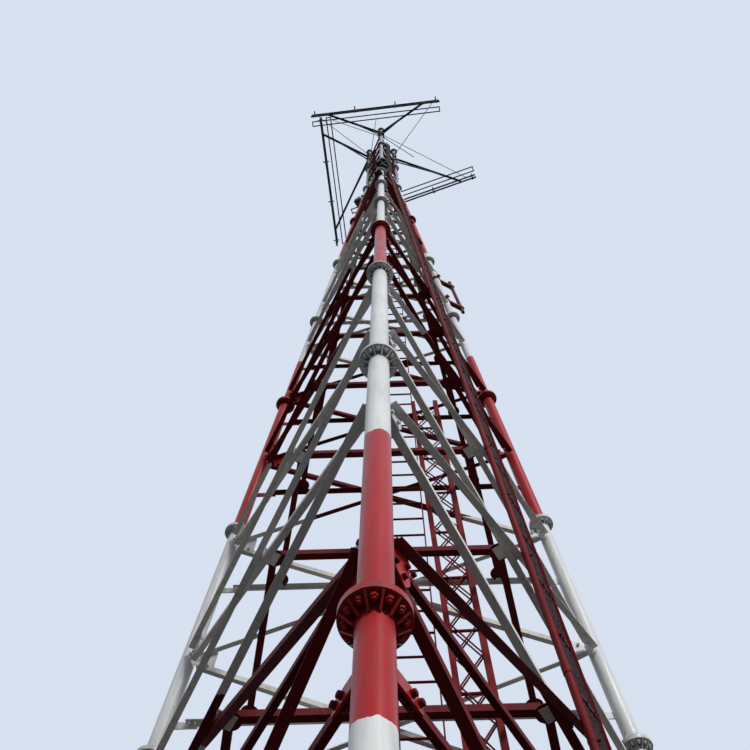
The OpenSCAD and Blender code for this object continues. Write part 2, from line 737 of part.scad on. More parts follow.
// Two arms with a pole between them, on the right leg
module side_mount() {
    color(steel) leg_frame(right) translate([0, 0, side_mount_h / cos(lean)]) union() {
        for (z = [0, side_arm_gap])
            translate([0, 0, z]) {
                difference() {
                    union() {
                        cylinder(d = upper_tube_d + 2 * (seat + collar_wall), h = 90);
                        translate([-35, -side_reach - 40, 10]) cube([70, side_reach, 70]);
                    }
                    translate([0, 0, -fuse]) cylinder(d = upper_tube_d + 2 * seat, h = 90 + 2 * fuse);
                }
            }
        translate([0, -side_reach, -150]) cylinder(d = side_pole_d, h = side_arm_gap + 450);
    }
}
// Junction box on the left leg below the head
module leg_box() {
    z = (taper_h - 950) / cos(lean);
    color(steel) leg_frame(left) translate([0, 0, z]) difference() {
        union() {
            cylinder(d = upper_tube_d + 2 * (seat + collar_wall), h = 70);
            translate([-90, -upper_tube_d / 2 - 170, -60]) cube([180, 150, 220]);
            translate([-25, -upper_tube_d / 2 - 30, 10]) cube([50, 30, 50]);
        }
        translate([0, 0, -fuse]) cylinder(d = upper_tube_d + 2 * seat, h = 70 + 2 * fuse);
    }
}

leg_pair(front, 0);  // front_leg_1
leg_pair(front, 1);  // front_leg_2
leg_pair(front, 2);  // front_leg_3
leg_pair(front, 3);  // front_leg_4
leg_head(front);  // front_leg_head
leg_pair(left, 0);  // left_leg_1
leg_pair(left, 1);  // left_leg_2
leg_pair(left, 2);  // left_leg_3
leg_pair(left, 3);  // left_leg_4
leg_head(left);  // left_leg_head
leg_pair(right, 0);  // right_leg_1
leg_pair(right, 1);  // right_leg_2
leg_pair(right, 2);  // right_leg_3
leg_pair(right, 3);  // right_leg_4
leg_head(right);  // right_leg_head
base_bracing(left_face);  // left_base_bracing
face_lower(left_face);  // left_face_lower
face_upper(left_face);  // left_face_upper
face_head(left_face);  // left_face_head
base_bracing(right_face);  // right_base_bracing
face_lower(right_face);  // right_face_lower
face_upper(right_face);  // right_face_upper
face_head(right_face);  // right_face_head
base_bracing(back_face);  // back_base_bracing
face_lower(back_face);  // back_face_lower
face_upper(back_face);  // back_face_upper
face_head(back_face);  // back_face_head
plan_levels_between(1, 4);  // plan_bracing_lower
plan_levels_between(5, plan_levels);  // plan_bracing_upper
ladder_lower();
ladder_upper();
ladder_head();
feeder_ladder();
cable_tray();
feeder_cables();
conduit();
front_sector_frame();
left_sector_frame();
rear_sector_frame();
side_mount();
leg_box();
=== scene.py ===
import math

import bpy
from mathutils import Matrix, Vector


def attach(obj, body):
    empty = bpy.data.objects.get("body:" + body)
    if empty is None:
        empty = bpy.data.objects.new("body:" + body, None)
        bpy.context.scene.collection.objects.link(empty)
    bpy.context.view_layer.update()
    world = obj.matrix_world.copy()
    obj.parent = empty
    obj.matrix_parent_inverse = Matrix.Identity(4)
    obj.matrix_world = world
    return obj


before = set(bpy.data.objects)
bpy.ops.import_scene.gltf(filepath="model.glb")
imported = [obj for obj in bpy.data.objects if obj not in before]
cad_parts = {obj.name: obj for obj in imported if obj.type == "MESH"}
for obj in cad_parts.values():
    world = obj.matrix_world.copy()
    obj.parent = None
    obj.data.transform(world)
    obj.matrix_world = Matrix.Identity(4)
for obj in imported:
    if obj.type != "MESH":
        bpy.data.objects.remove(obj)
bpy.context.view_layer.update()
bpy.context.scene.view_settings.view_transform = "Standard"

# Camera: low, just in front of the front leg, looking steeply up the mast.
# The lens is wide enough to take the mast from its second joint to the aerial frames.
mast_axis_y = 2.72
eye_right, eye_back, eye_h = 0.074, 4.299, 0.514
camera_data = bpy.data.cameras.new("photo_camera")
camera_data.sensor_width = 36.0
camera_data.lens = 44.5
camera_data.clip_end = 200.0
camera = bpy.data.objects.new("photo_camera", camera_data)
bpy.context.scene.collection.objects.link(camera)
bpy.context.scene.camera = camera
pitch, turn_left, roll = math.radians(67.779), math.radians(2.581), math.radians(0.662)
camera.location = (eye_right, mast_axis_y - eye_back, eye_h)
level_look = math.cos(pitch)
look = Vector((-math.sin(turn_left) * level_look, math.cos(turn_left) * level_look, math.sin(pitch)))
camera.rotation_mode = "QUATERNION"
camera.rotation_quaternion = look.to_track_quat("-Z", "Y")
camera.rotation_mode = "XYZ"
camera.rotation_euler.rotate_axis("Z", roll)

# Studio light: a broad pale sky above, dimmer from below as over dull ground, and one soft sun.
# What the camera and glossy surfaces see behind the mast is a plain pale sky.
sky_seen, sky_tint = (0.68, 0.75, 0.87, 1), (0.93, 0.96, 1, 1)
sky_light, ground_light, full_sky_z = 0.9, 0.03, 0.75
sun_light, sun_width, sun_turns = 2.5, math.radians(6), (math.radians(50), 0, math.radians(30))
world = bpy.data.worlds.new("studio")
bpy.context.scene.world = world
world.use_nodes = True
sky_nodes, sky_links = world.node_tree.nodes, world.node_tree.links
lamp_sky = sky_nodes["Background"]
lamp_sky.inputs["Color"].default_value = sky_tint
seen_sky = sky_nodes.new("ShaderNodeBackground")
seen_sky.inputs["Color"].default_value = sky_seen
seen_sky.inputs["Strength"].default_value = 1.0
ray = sky_nodes.new("ShaderNodeLightPath")
seen = sky_nodes.new("ShaderNodeMath")
seen.operation = "MAXIMUM"
sky_links.new(ray.outputs["Is Camera Ray"], seen.inputs[0])
sky_links.new(ray.outputs["Is Transmission Ray"], seen.inputs[1])
shine = sky_nodes.new("ShaderNodeMath")
shine.operation = "MAXIMUM"
sky_links.new(seen.outputs[0], shine.inputs[0])
sky_links.new(ray.outputs["Is Glossy Ray"], shine.inputs[1])
sky_way = sky_nodes.new("ShaderNodeTexCoord")
sky_split = sky_nodes.new("ShaderNodeSeparateXYZ")
sky_links.new(sky_way.outputs["Generated"], sky_split.inputs[0])
sky_fade = sky_nodes.new("ShaderNodeMapRange")
sky_fade.inputs["From Min"].default_value = 0.0
sky_fade.inputs["From Max"].default_value = full_sky_z
sky_fade.inputs["To Min"].default_value = ground_light
sky_fade.inputs["To Max"].default_value = sky_light
sky_links.new(sky_split.outputs["Z"], sky_fade.inputs["Value"])
sky_links.new(sky_fade.outputs["Result"], lamp_sky.inputs["Strength"])
sky_mix = sky_nodes.new("ShaderNodeMixShader")
sky_links.new(shine.outputs[0], sky_mix.inputs[0])
sky_links.new(lamp_sky.outputs[0], sky_mix.inputs[1])
sky_links.new(seen_sky.outputs[0], sky_mix.inputs[2])
sky_links.new(sky_mix.outputs[0], sky_nodes["World Output"].inputs["Surface"])

sun_data = bpy.data.lights.new("sun", "SUN")
sun_data.energy = sun_light
sun_data.angle = sun_width
sun = bpy.data.objects.new("sun", sun_data)
bpy.context.scene.collection.objects.link(sun)
sun.rotation_euler = sun_turns

# Plain pale floor, pale to the camera and duller for the light that it throws back up.
# It isn't part of the mast.
floor_size, floor_drop = 240, 0.002
floor_thrown, floor_seen = (0.03, 0.03, 0.033, 1), (0.72, 0.74, 0.77, 1)
bpy.ops.object.select_all(action="DESELECT")
bpy.ops.mesh.primitive_plane_add(size=floor_size, location=(0, mast_axis_y, -floor_drop))
floor = bpy.context.object
floor.name = "floor"
bpy.ops.object.transform_apply(location=True, rotation=True, scale=True)
floor_paint = bpy.data.materials.new("floor_paint")
floor_paint.use_nodes = True
floor_nodes, floor_links = floor_paint.node_tree.nodes, floor_paint.node_tree.links
floor_ray = floor_nodes.new("ShaderNodeLightPath")
floor_mix = floor_nodes.new("ShaderNodeMix")
floor_mix.data_type = "RGBA"
floor_mix.inputs["A"].default_value = floor_thrown
floor_mix.inputs["B"].default_value = floor_seen
floor_links.new(floor_ray.outputs["Is Camera Ray"], floor_mix.inputs["Factor"])
floor_links.new(floor_mix.outputs["Result"], floor_nodes["Principled BSDF"].inputs["Base Color"])
floor_nodes["Principled BSDF"].inputs["Roughness"].default_value = 0.9
floor.data.materials.append(floor_paint)

# The three legs: steel tubes with ribbed flanges, welded up in 3 m sections and bolted end to end.
# They are painted in red and white bands, each leg on its own levels, over galvanizing that
# shows in the straight head. The paint has chalked, run and rusted a little at the joints.
red_paint = (0.43, 0.012, 0.014, 1)
white_paint = (0.76, 0.765, 0.76, 1)
dirt = (0.09, 0.075, 0.065, 1)
rust = (0.17, 0.055, 0.022, 1)
mast_top = 31.0
bump_share, zinc_specular, smooth_specular, rough_specular = 0.35, 0.22, 0.14, 0.1


class Finish:
    """Builds one procedural finish on object coordinates, node by node."""

    def __init__(self, name):
        self.material = bpy.data.materials.new(name)
        self.material.use_nodes = True
        self.nodes, self.links = self.material.node_tree.nodes, self.material.node_tree.links
        self.shader = self.nodes["Principled BSDF"]
        self.place = self.nodes.new("ShaderNodeTexCoord").outputs["Object"]

    def stretched(self, scale):
        mapping = self.nodes.new("ShaderNodeMapping")
        mapping.inputs["Scale"].default_value = scale
        self.links.new(self.place, mapping.inputs["Vector"])
        return mapping.outputs["Vector"]

    def noise(self, scale, detail=3.0, rough=0.55, place=None):
        cloud = self.nodes.new("ShaderNodeTexNoise")
        cloud.inputs["Scale"].default_value = scale
        cloud.inputs["Detail"].default_value = detail
        cloud.inputs["Roughness"].default_value = rough
        self.links.new(place or self.place, cloud.inputs["Vector"])
        return cloud.outputs["Fac"]

    def spread(self, value, low, high, to_low, to_high):
        """The value's range from low to high, spread over to_low to to_high."""
        limits = self.nodes.new("ShaderNodeMapRange")
        ends = {"From Min": low, "From Max": high, "To Min": to_low, "To Max": to_high}
        for socket, number in ends.items():
            limits.inputs[socket].default_value = number
        self.links.new(value, limits.inputs["Value"])
        return limits.outputs["Result"]

    def sum(self, kind, a, b):
        math_node = self.nodes.new("ShaderNodeMath")
        math_node.operation = kind
        for socket, value in zip(math_node.inputs, (a, b)):
            if isinstance(value, (int, float)):
                socket.default_value = value
            else:
                self.links.new(value, socket)
        return math_node.outputs[0]

    def mix(self, amount, a, b):
        blend = self.nodes.new("ShaderNodeMix")
        blend.data_type = "RGBA"
        for socket, value in (("Factor", amount), ("A", a), ("B", b)):
            if isinstance(value, tuple):
                blend.inputs[socket].default_value = value
            else:
                self.links.new(value, blend.inputs[socket])
        return blend.outputs["Result"]

    def bands(self, levels):
        """Colour by height: (height, colour) pairs, with slightly wandering brushed edges."""
        height = self.nodes.new("ShaderNodeSeparateXYZ")
        self.links.new(self.place, height.inputs[0])
        wander = self.spread(self.noise(14.0), 0.3, 0.7, -0.014, 0.014)
        share = self.sum("DIVIDE", self.sum("ADD", height.outputs["Z"], wander), mast_top)
        ramp = self.nodes.new("ShaderNodeValToRGB")
        ramp.color_ramp.interpolation = "CONSTANT"
        ramp.color_ramp.elements[0].color = levels[0][1]
        ramp.color_ramp.elements[1].position = levels[1][0] / mast_top
        ramp.color_ramp.elements[1].color = levels[1][1]
        for level, colour in levels[2:]:
            ramp.color_ramp.elements.new(level / mast_top).color = colour
        self.links.new(share, ramp.inputs["Fac"])
        return ramp.outputs["Color"]

    def value(self, colour, amount):
        tone = self.nodes.new("ShaderNodeHueSaturation")
        self.links.new(colour, tone.inputs["Color"])
        self.links.new(amount, tone.inputs["Value"])
        return tone.outputs["Color"]

    def near_joints(self):
        """1 at every third metre of height, where the flanges are, fading out beside them."""
        height = self.nodes.new("ShaderNodeSeparateXYZ")
        self.links.new(self.place, height.inputs[0])
        return self.spread(self.sum("PINGPONG", height.outputs["Z"], 1.5), 0.02, 0.2, 1.0, 0.0)

    def done(self, colour, roughness, bump, specular, bump_size=0.0012, metallic=0.0):
        raised = self.nodes.new("ShaderNodeBump")
        raised.inputs["Strength"].default_value = bump_share
        raised.inputs["Distance"].default_value = bump_size
        self.links.new(bump, raised.inputs["Height"])
        self.links.new(raised.outputs["Normal"], self.shader.inputs["Normal"])
        self.links.new(colour, self.shader.inputs["Base Color"])
        self.links.new(roughness, self.shader.inputs["Roughness"])
        self.shader.inputs["Specular IOR Level"].default_value = specular
        self.shader.inputs["Metallic"].default_value = metallic
        return self.material


def weathered_paint(name, levels, gloss, soiled, rusted, joints=False):
    """Old brushed paint in bands, with chalking, dirty runs and rust specks."""
    paint = Finish(name)
    colour = paint.bands(levels)
    patches = paint.noise(1.6, 5.0, 0.6)
    colour = paint.value(colour, paint.spread(patches, 0.3, 0.7, 0.88, 1.08))
    runs = paint.noise(1.0, 4.0, 0.65, paint.stretched((24.0, 24.0, 1.1)))
    soil = paint.spread(runs, 0.5, 0.74, 0.0, soiled)
    if joints:
        blotches = paint.spread(paint.noise(22.0), 0.35, 0.7, 0.1, 0.75)
        ring = paint.sum("MULTIPLY", paint.near_joints(), blotches)
        soil = paint.sum("MAXIMUM", soil, paint.sum("MULTIPLY", ring, 0.6))
    colour = paint.mix(soil, colour, dirt)
    specks = paint.spread(paint.noise(75.0, 2.0), 0.67, 0.72, 0.0, 1.0)
    where = paint.spread(paint.noise(2.7, 3.0), 0.5, 0.66, 0.0, rusted)
    colour = paint.mix(paint.sum("MULTIPLY", specks, where), colour, rust)
    shine_map = paint.spread(runs, 0.3, 0.75, gloss, gloss + 0.22)
    brush = paint.noise(1.0, 3.0, 0.6, paint.stretched((260.0, 260.0, 30.0)))
    return paint.done(colour, shine_map, brush, smooth_specular if gloss < 0.4 else rough_specular)


def galvanized(name, pale, dull, rough, metallic, soiled=0.35):
    """Weathered hot-dip zinc: faint crystals, darker patches and dirty runs."""
    zinc = Finish(name)
    crystals = zinc.nodes.new("ShaderNodeTexVoronoi")
    crystals.inputs["Scale"].default_value = 55.0
    zinc.links.new(zinc.place, crystals.inputs["Vector"])
    spangle = zinc.nodes.new("ShaderNodeSeparateColor")
    zinc.links.new(crystals.outputs["Color"], spangle.inputs[0])
    colour = zinc.mix(zinc.spread(spangle.outputs[0], 0.0, 1.0, 0.0, 0.7), pale, dull)
    patches = zinc.noise(3.1, 5.0, 0.6)
    colour = zinc.value(colour, zinc.spread(patches, 0.3, 0.7, 0.8, 1.1))
    runs = zinc.noise(1.0, 4.0, 0.65, zinc.stretched((30.0, 30.0, 1.6)))
    colour = zinc.mix(zinc.spread(runs, 0.5, 0.75, 0.0, soiled), colour, dirt)
    roughness = zinc.spread(patches, 0.3, 0.7, rough, rough + 0.2)
    return zinc.done(colour, roughness, zinc.noise(180.0, 3.0), zinc_specular, 0.0008, metallic)


front_bands = [(0, white_paint), (2.37, red_paint), (4.5, white_paint), (9.2, red_paint), (12.2, white_paint)]
side_bands = [(0, white_paint), (9.05, red_paint), (13.3, white_paint), (18.4, red_paint), (22.7, white_paint)]
front_leg_paint = weathered_paint("front_leg_paint", front_bands, 0.24, 0.2, 0.6, True)
side_leg_paint = weathered_paint("side_leg_paint", side_bands, 0.26, 0.24, 0.6, True)
head_zinc = galvanized("head_zinc", (0.42, 0.43, 0.44, 1), (0.25, 0.26, 0.27, 1), 0.42, 0.3)


def dress(node, finish):
    """Gives a CAD node its finish."""
    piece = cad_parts[node]
    piece.data.materials.clear()
    piece.data.materials.append(finish)


leg_turns = {"front": 0, "left": -120, "right": 120}
leg_paints = {"front": front_leg_paint, "left": side_leg_paint, "right": side_leg_paint}
for leg, paint in leg_paints.items():
    for section in range(1, 5):
        dress(f"{leg}_leg_{section}", paint)
    dress(f"{leg}_leg_head", head_zinc)

# Joint fittings: twelve galvanized and painted-over bolts through each pair of flanges, with washers
# and nuts, and the rippled fillet weld between each tube and its flange.
base_r, head_r, section_h, head_foot_h = 2.72, 0.435, 3.0, 24.0
taper = (base_r - head_r) / head_foot_h
lean, face_lean = math.atan(taper), math.atan(taper / 2)
leg_tilt = math.atan(taper * math.sqrt(3) / 2)
mast_axis = Matrix.Translation((0, mast_axis_y, 0))
low_tube_r, mid_tube_r, head_tube_r = 0.0665, 0.057, 0.0445
flange_lip, flange_t, flange_gap = 0.06, 0.018, 0.0003
joint_bolts, leg_bolt, head_bolt, thread_end = 12, 0.026, 0.022, 0.012
last_joint, head_joint = 9, 8
smooth_angle = math.radians(38)


def turned(degrees, axis="Z"):
    return Matrix.Rotation(math.radians(degrees), 4, axis)


def moved(x, y, z):
    return Matrix.Translation((x, y, z))


def leg_place(leg, along):
    """On a leaning leg's axis, that far up along it, with Z up the leg and -Y outwards."""
    foot = mast_axis @ turned(leg_turns[leg]) @ moved(0, -base_r, 0)
    return foot @ Matrix.Rotation(-lean, 4, "X") @ moved(0, 0, along)


def head_place(leg, height):
    return mast_axis @ turned(leg_turns[leg]) @ moved(0, -head_r, height)


def begin():
    """Nothing stays selected from the piece before."""
    if bpy.context.object and bpy.context.object.mode == "EDIT":
        bpy.ops.object.mode_set(mode="OBJECT")
    bpy.ops.object.select_all(action="DESELECT")


def pick_faces(piece, wanted):
    """Enters edit mode with only the wanted faces selected."""
    bpy.ops.object.mode_set(mode="EDIT")
    bpy.ops.mesh.select_mode(type="FACE")
    bpy.ops.mesh.select_all(action="DESELECT")
    bpy.ops.object.mode_set(mode="OBJECT")
    for face in piece.data.polygons:
        face.select = wanted(face)
    bpy.ops.object.mode_set(mode="EDIT")


def settle(piece, name):
    """Puts a modelled piece's place in its mesh."""
    begin()
    piece.select_set(True)
    bpy.context.view_layer.objects.active = piece
    bpy.ops.object.transform_apply(location=True, rotation=True, scale=True)
    bpy.ops.object.shade_smooth_by_angle(angle=smooth_angle)
    piece.name = piece.data.name = name
    return piece


def join_parts(parts, name):
    begin()
    for part in parts:
        part.select_set(True)
    bpy.context.view_layer.objects.active = parts[0]
    bpy.ops.object.join()
    return settle(parts[0], name)


def placed(piece, place):
    piece.data.transform(place)
    return piece


def copied(pattern, place):
    copy = pattern.copy()
    copy.data = pattern.data.copy()
    bpy.context.scene.collection.objects.link(copy)
    return placed(copy, place)


def repeated(pattern, places, name):
    """One joined piece with a copy of the pattern at each place; the pattern goes."""
    copies = [copied(pattern, place) for place in places]
    bpy.data.objects.remove(pattern)
    return join_parts(copies, name)


def hang(piece, finish):
    piece.data.materials.clear()
    piece.data.materials.append(finish)
    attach(piece, "root")


def hexagon(across, height, z, up=1):
    """Bolt head or nut: six sides with one chamfered end."""
    begin()
    bpy.ops.mesh.primitive_cylinder_add(vertices=6, radius=across / math.sqrt(3), depth=height, location=(0, 0, z))
    piece = bpy.context.object
    pick_faces(piece, lambda face: face.normal.z * up > 0.9)
    bpy.ops.mesh.inset(thickness=across * 0.1)
    bpy.ops.transform.translate(value=(0, 0, up * across * 0.07))
    return settle(piece, "hexagon")


def rod(a, b, radius, sides=12, end=0.25, cap=True):
    """Round bar from a to b, with both ends chamfered by a share of its radius unless cap is off."""
    a, b = Vector(a), Vector(b)
    begin()
    bpy.ops.mesh.primitive_cylinder_add(vertices=sides, radius=radius, depth=(b - a).length, location=(a + b) / 2,
                                        rotation=(b - a).to_track_quat("Z", "Y").to_euler())
    piece = bpy.context.object
    if cap:
        pick_faces(piece, lambda face: abs(face.normal.z) > 0.9)
        bpy.ops.mesh.bevel(offset=radius * end, segments=1)
    return settle(piece, "rod")


def hoop(centre, radius, wire, steps, sides, axis="Z"):
    """Ring of round wire that goes round the given axis."""
    tilt = {"X": (0, math.pi / 2, 0), "Y": (math.pi / 2, 0, 0), "Z": (0, 0, 0)}[axis]
    begin()
    bpy.ops.mesh.primitive_torus_add(major_radius=radius, minor_radius=wire, major_segments=steps,
                                     minor_segments=sides, location=centre, rotation=tilt)
    return bpy.context.object


def hex_bolt(across, grip, tail, washer_t=0.003, sides=10):
    """Bolt along Z through a grip centred on the origin: head above, nut and thread end below."""
    top, low = grip / 2 + washer_t, -grip / 2 - washer_t
    head_t, nut_t = across * 0.6, across * 0.75
    parts = [hexagon(across, head_t, top + head_t / 2), hexagon(across, nut_t, low - nut_t / 2, -1),
             rod((0, 0, low - across * 0.7), (0, 0, low - nut_t - tail), across * 0.31, 8)]
    for z in (top - washer_t / 2, low + washer_t / 2):
        begin()
        bpy.ops.mesh.primitive_cylinder_add(vertices=sides, radius=across * 0.68, depth=washer_t, location=(0, 0, z))
        parts.append(bpy.context.object)
    return join_parts(parts, "hex_bolt")


def tube_r(section):
    """Outer radius of a leg's tube, by the number of 3 m sections below."""
    return low_tube_r if section < 4 else mid_tube_r if section < head_joint else head_tube_r


def weld_ring(radius, size=0.0055, segments=36):
    piece = hoop((0, 0, 0), radius + size * 0.3, size, segments, 6)
    bpy.ops.object.mode_set(mode="EDIT")
    bpy.ops.mesh.select_all(action="SELECT")
    bpy.ops.transform.vertex_random(offset=size * 0.18, uniform=0.6, normal=0.4, seed=7)
    return settle(piece, "weld_ring")


for leg, paint in leg_paints.items():
    tapered, straight = [], []
    for joint in range(1, last_joint + 1):
        wall = tube_r(joint - 1)
        on_head = joint >= head_joint
        h = section_h * joint
        place = head_place(leg, h) if on_head else leg_place(leg, h / math.cos(lean))
        bolt = hex_bolt(head_bolt if wall == head_tube_r else leg_bolt, 2 * flange_t + flange_gap, thread_end)
        ring = wall + flange_lip / 2 + 0.002
        spots = [place @ turned(360 / joint_bolts * k) @ moved(ring, 0, 0) @ turned(17 * k + 11 * joint)
                 for k in range(joint_bolts)]
        group = [repeated(bolt, spots, "joint_bolts")]
        for side, section in ((1, joint), (-1, joint - 1)):
            if not (joint == head_joint and side < 0):
                above = side * (flange_t + flange_gap / 2)
                group.append(placed(weld_ring(tube_r(section)), place @ moved(0, 0, above)))
        (straight if on_head else tapered).append(join_parts(group, "joint"))
    hang(join_parts(tapered, f"{leg}_leg_joint_fittings"), paint)
    hang(join_parts(straight, f"{leg}_head_joint_fittings"), head_zinc)

# Holding-down bolts: four threaded steel rods rise through each base plate, each with a square
# washer, a nut and a lock nut. They are bare zinc, and the tube is welded to its plate.
anchor_spot, plate_t = 0.165, 0.03
anchor_r, anchor_foot, anchor_top = 0.012, 0.004, 0.135
thread_from, thread_pitch, thread_turns = 0.088, 0.0034, 13
washer_w, washer_t, nut_w, nut_t, lock_t, lock_gap = 0.075, 0.01, 0.036, 0.021, 0.018, 0.0025
bolt_zinc = galvanized("bolt_zinc", (0.42, 0.43, 0.45, 1), (0.28, 0.28, 0.3, 1), 0.45, 0.5, 0.5)
for leg in leg_turns:
    parts = [rod((0, 0, anchor_foot), (0, 0, anchor_top), anchor_r, 16)]
    begin()
    bpy.ops.mesh.primitive_cube_add(size=1, location=(0, 0, plate_t + washer_t / 2),
                                    scale=(washer_w, washer_w, washer_t))
    washer = bpy.context.object
    pick_faces(washer, lambda face: face.normal.z > 0.9)
    bpy.ops.mesh.bevel(offset=0.02, offset_type="PERCENT", segments=1)
    bpy.ops.object.mode_set(mode="OBJECT")
    nut_foot = plate_t + washer_t
    parts += [washer, hexagon(nut_w, nut_t, nut_foot + nut_t / 2),
              hexagon(nut_w, lock_t, nut_foot + nut_t + lock_gap + lock_t / 2)]
    parts += [hoop((0, 0, thread_from + thread_pitch * k), anchor_r + 0.0002, 0.0014, 16, 4)
              for k in range(thread_turns)]
    anchor = join_parts(parts, "anchor")
    foot = mast_axis @ turned(leg_turns[leg]) @ moved(0, -base_r, 0)
    spots = [foot @ moved(x * anchor_spot, y * anchor_spot, 0) @ turned(23 * x + 31 * y)
             for x in (-1, 1) for y in (-1, 1)]
    hang(repeated(anchor, spots, f"{leg}_anchor_bolts"), bolt_zinc)
    bead = repeated(weld_ring(low_tube_r + 0.001, 0.008), [foot @ moved(0, 0, plate_t)], f"{leg}_foot_weld")
    hang(bead, leg_paints[leg])

# Face bracing: crossed steel angles in every panel of the three faces, bolted to the legs' gusset
# plates and to each other at the crossing. Two bolts hold each end and one each crossing.
brace_bands = [(0, white_paint), (2.55, red_paint), (4.5, white_paint), (9.2, red_paint), (13.2, white_paint),
               (18.4, red_paint), (22.7, white_paint)]
# The braces' red is a far darker copy of the legs' red paint: painted shade, for braces seen from below. The white
# stays plain white paint.
painted_shade_red = (0.13, 0.007, 0.011, 1)
shade_white = (0.78, 0.765, 0.725, 1)
face_turns = {"left": -60, "right": 60, "back": 180}
first_node_h, second_node_h, panel_h, last_node_h = 0.33, 3.66, 1.706, 23.6
brace_w, brace_crop_gap, plate_half, leg_half = 0.05, 0.015, 0.00265, 0.0025
brace_bolt, bolt_tail, thin_washer, end_grip, mid_grip = 0.024, 0.006, 0.0025, 0.0156, 0.0208
end_offsets, nut_turns = (0.038, 0.108), 4000
tie_w, low_tie_h, tie_drop, tie_start, tie_offsets, tie_bolt_z = 0.045, 2.83, 0.0175, 0.112, (0.035, 0.08), -0.0028
plan_lift, back_tie_nodes = 0.095, range(1, 12)


def all_over(colour):
    """Levels of a paint that has one colour from foot to head."""
    return [(0, colour), (mast_top / 2, colour)]


# Where the bands are red, the braces take the darker painted-shade red.
brace_levels = [(h, painted_shade_red if colour is red_paint else shade_white) for h, colour in brace_bands]
brace_paint = weathered_paint("brace_paint", brace_levels, 0.6, 0.3, 0.8)
# The head braces are painted-shade red all over.
head_red = weathered_paint("head_red", all_over(painted_shade_red), 0.6, 0.4, 0.8)
for face in face_turns:
    for part in ("base_bracing", "face_lower", "face_upper"):
        dress(f"{face}_{part}", brace_paint)
    dress(f"{face}_face_head", head_red)
brace_nodes = [first_node_h] + [second_node_h + panel_h * k for k in range(10)]
last_panel_h = (last_node_h - brace_nodes[-1]) / 3
brace_nodes += [brace_nodes[-1] + last_panel_h * k for k in (1, 2, 3)]


def face_place(face):
    """A tapered face's own axes: X along it, Y up its slope and Z outwards."""
    lift = Matrix.Rotation(math.pi / 2 - face_lean, 4, "X")
    return mast_axis @ turned(face_turns[face]) @ moved(0, -base_r / 2, 0) @ lift


def head_face_place(face):
    return mast_axis @ turned(face_turns[face]) @ moved(0, -head_r / 2, 0) @ turned(90, "X")


def half_face(h):
    return (base_r - taper * min(h, head_foot_h)) * math.sqrt(3) / 2


def slope(h):
    return h / math.cos(face_lean)


def cross_h(n):
    """Height at which the braces of panel n cross."""
    low, high = brace_nodes[n], brace_nodes[n + 1]
    return low + (high - low) * half_face(low) / (half_face(low) + half_face(high))


def leg_wall(h):
    return tube_r(int(h // section_h))


def crop(wall, angle):
    """How far a brace's end stops short of the leg's axis."""
    return (wall + brace_crop_gap + brace_w / 2 * math.sin(angle)) / math.cos(angle)


def end_spots(a, b, wall_a, wall_b, side):
    """Places of the bolts at both ends of a brace from a to b, on the side of the plates it lies on."""
    rise = math.atan2(abs(b[1] - a[1]), abs(b[0] - a[0]))
    way = math.atan2(b[1] - a[1], b[0] - a[0])
    tilt = leg_tilt if b[1] > a[1] else -leg_tilt
    spots = []
    for point, along, wall, lean_there in ((a, 1, wall_a, tilt), (b, -1, wall_b, -tilt)):
        for offset in end_offsets:
            out = along * (crop(wall, rise + lean_there) + offset)
            at = moved(point[0] + out * math.cos(way), point[1] + out * math.sin(way), side * plate_half)
            spots.append(at @ turned(math.degrees(way)) @ moved(0, leg_half, 0) @ turned(nut_turns * offset))
    return spots


for face in face_turns:
    on_face = face_place(face)
    ends, crossings = [], []
    for n in range(len(brace_nodes) - 1):
        h0, h1 = brace_nodes[n], brace_nodes[n + 1]
        low_l, low_r = (-half_face(h0), slope(h0)), (half_face(h0), slope(h0))
        high_l, high_r = (-half_face(h1), slope(h1)), (half_face(h1), slope(h1))
        ends += end_spots(low_l, high_r, leg_wall(h0), leg_wall(h1), 1)
        ends += end_spots(high_l, low_r, leg_wall(h1), leg_wall(h0), -1)
        crossings.append(moved(0, slope(cross_h(n)), 0))
    ties = [low_tie_h, second_node_h - tie_drop, last_node_h]
    if face == "back":
        ties += [cross_h(n) + plan_lift - tie_w / 2 for n in back_tie_nodes]
    for h in ties:
        reach = half_face(h) - leg_wall(h) - tie_start
        ends += [moved(side * (reach - spot), slope(h), tie_bolt_z) for side in (-1, 1) for spot in tie_offsets]
    bolts = []
    for spots, grip in ((ends, end_grip), (crossings, mid_grip)):
        bolt = hex_bolt(brace_bolt, grip, bolt_tail, thin_washer, 8)
        bolts.append(repeated(bolt, [on_face @ spot for spot in spots], "bolts"))
    hang(join_parts(bolts, f"{face}_face_bolts"), brace_paint)
